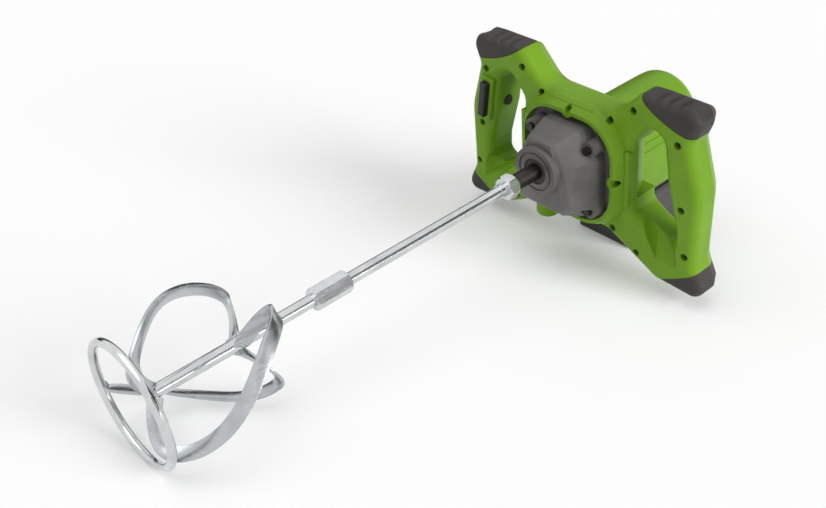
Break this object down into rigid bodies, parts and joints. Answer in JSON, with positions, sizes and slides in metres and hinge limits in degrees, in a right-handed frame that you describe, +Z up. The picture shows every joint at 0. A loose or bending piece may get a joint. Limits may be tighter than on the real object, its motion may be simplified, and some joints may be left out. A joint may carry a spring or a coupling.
{
  "type": "mixing drill",
  "caption": "Two-handed cordless mixing drill with a geared spindle, a bladed hoop paddle on a rod, trigger, lock button and a slide-on battery pack.",
  "frame": {"origin": "centre of the nose boss's front face, on the spindle axis", "axes": "+Y along the spindle from paddle to motor, +X towards the handle without the trigger, +Z up along the grips, away from the battery"},
  "size_m": [0.3232, 0.688, 0.223],
  "materials": {
    "green_plastic": "satin moulded",
    "rubber": "matte moulded",
    "cast_alloy": "dark cast",
    "bright_steel": "bright zinc plated",
    "black_steel": "blackened",
    "gear_steel": "ground",
    "screw_steel": "blackened",
    "bronze": "sintered",
    "black_plastic": "matte",
    "pack_plastic": "satin moulded",
    "laminated_iron": "laminated",
    "copper": "enamelled wire",
    "board": "circuit board",
    "cell_can": "sleeved"
  },
  "bodies": {
    "body": {"layshaft_bushes": "bronze", "spindle_front_bearing": "gear_steel", "spindle_rear_bearing": "gear_steel", "spindle_seal": "rubber", "gear_case": "cast_alloy", "gear_plate": "cast_alloy", "motor_plate": "cast_alloy", "gear_case_screws": "screw_steel", "front_housing": "green_plastic", "rear_housing": "green_plastic", "upper_right_bumper": "rubber", "upper_left_bumper": "rubber", "lower_right_bumper": "rubber", "lower_left_bumper": "rubber", "housing_screws": "screw_steel", "switch_module": "black_plastic", "motor_housing": "green_plastic", "rear_cap": "green_plastic", "control_board": "board", "stator_core": "laminated_iron", "stator_coils": "copper", "motor_front_bearing": "gear_steel", "motor_rear_bearing": "gear_steel", "battery_shoe": "black_plastic", "battery_terminals": "bronze"},
    "paddle": {"hoop": "bright_steel", "blade_1": "bright_steel", "blade_2": "bright_steel", "blade_3": "bright_steel", "lower_rod": "bright_steel", "hex_coupling": "bright_steel", "upper_rod": "bright_steel", "lock_nut": "bright_steel", "spindle": "black_steel", "output_gear": "gear_steel"},
    "layshaft_set": {"layshaft": "gear_steel", "layshaft_pinion": "gear_steel", "layshaft_wheel": "gear_steel"},
    "rotor": {"rotor_core": "laminated_iron", "motor_shaft": "gear_steel", "motor_pinion": "gear_steel", "cooling_fan": "black_plastic"},
    "trigger_body": {"trigger": "black_plastic"},
    "lock_body": {"lock_button": "black_plastic"},
    "battery": {"battery_case_top": "pack_plastic", "battery_case_base": "pack_plastic", "battery_cells": "cell_can"},
    "latch": {"battery_latch_button": "black_plastic"}
  },
  "joints": [
    {"name": "spindle_spin", "type": "hinge", "parent": "body", "child": "paddle", "pos_m": [0, 0, 0], "axis": [0, 1, 0], "continuous": true},
    {"name": "layshaft_spin", "type": "hinge", "parent": "body", "child": "layshaft_set", "pos_m": [-0.01886, 0, -0.02333], "axis": [0, 1, 0], "continuous": true},
    {"name": "rotor_spin", "type": "hinge", "parent": "body", "child": "rotor", "pos_m": [0, 0, -0.012], "axis": [0, 1, 0], "continuous": true},
    {"name": "trigger_press", "type": "slide", "parent": "body", "child": "trigger_body", "axis": [0, 1, 0], "range_m": [0, 0.006], "stiffness_N_per_m": 900},
    {"name": "lock_press", "type": "slide", "parent": "body", "child": "lock_body", "axis": [-1, 0, 0], "range_m": [0, 0.003], "stiffness_N_per_m": 600},
    {"name": "battery_slide", "type": "slide", "parent": "body", "child": "battery", "axis": [0, 1, 0], "range_m": [0, 0.075]},
    {"name": "latch_press", "type": "slide", "parent": "battery", "child": "latch", "axis": [0, 0, -1], "range_m": [0, 0.0035], "stiffness_N_per_m": 900}
  ],
  "couplings": [
    {"joint": "layshaft_spin", "follows": "spindle_spin", "ratio": -3},
    {"joint": "rotor_spin", "follows": "spindle_spin", "ratio": 11.667}
  ]
}
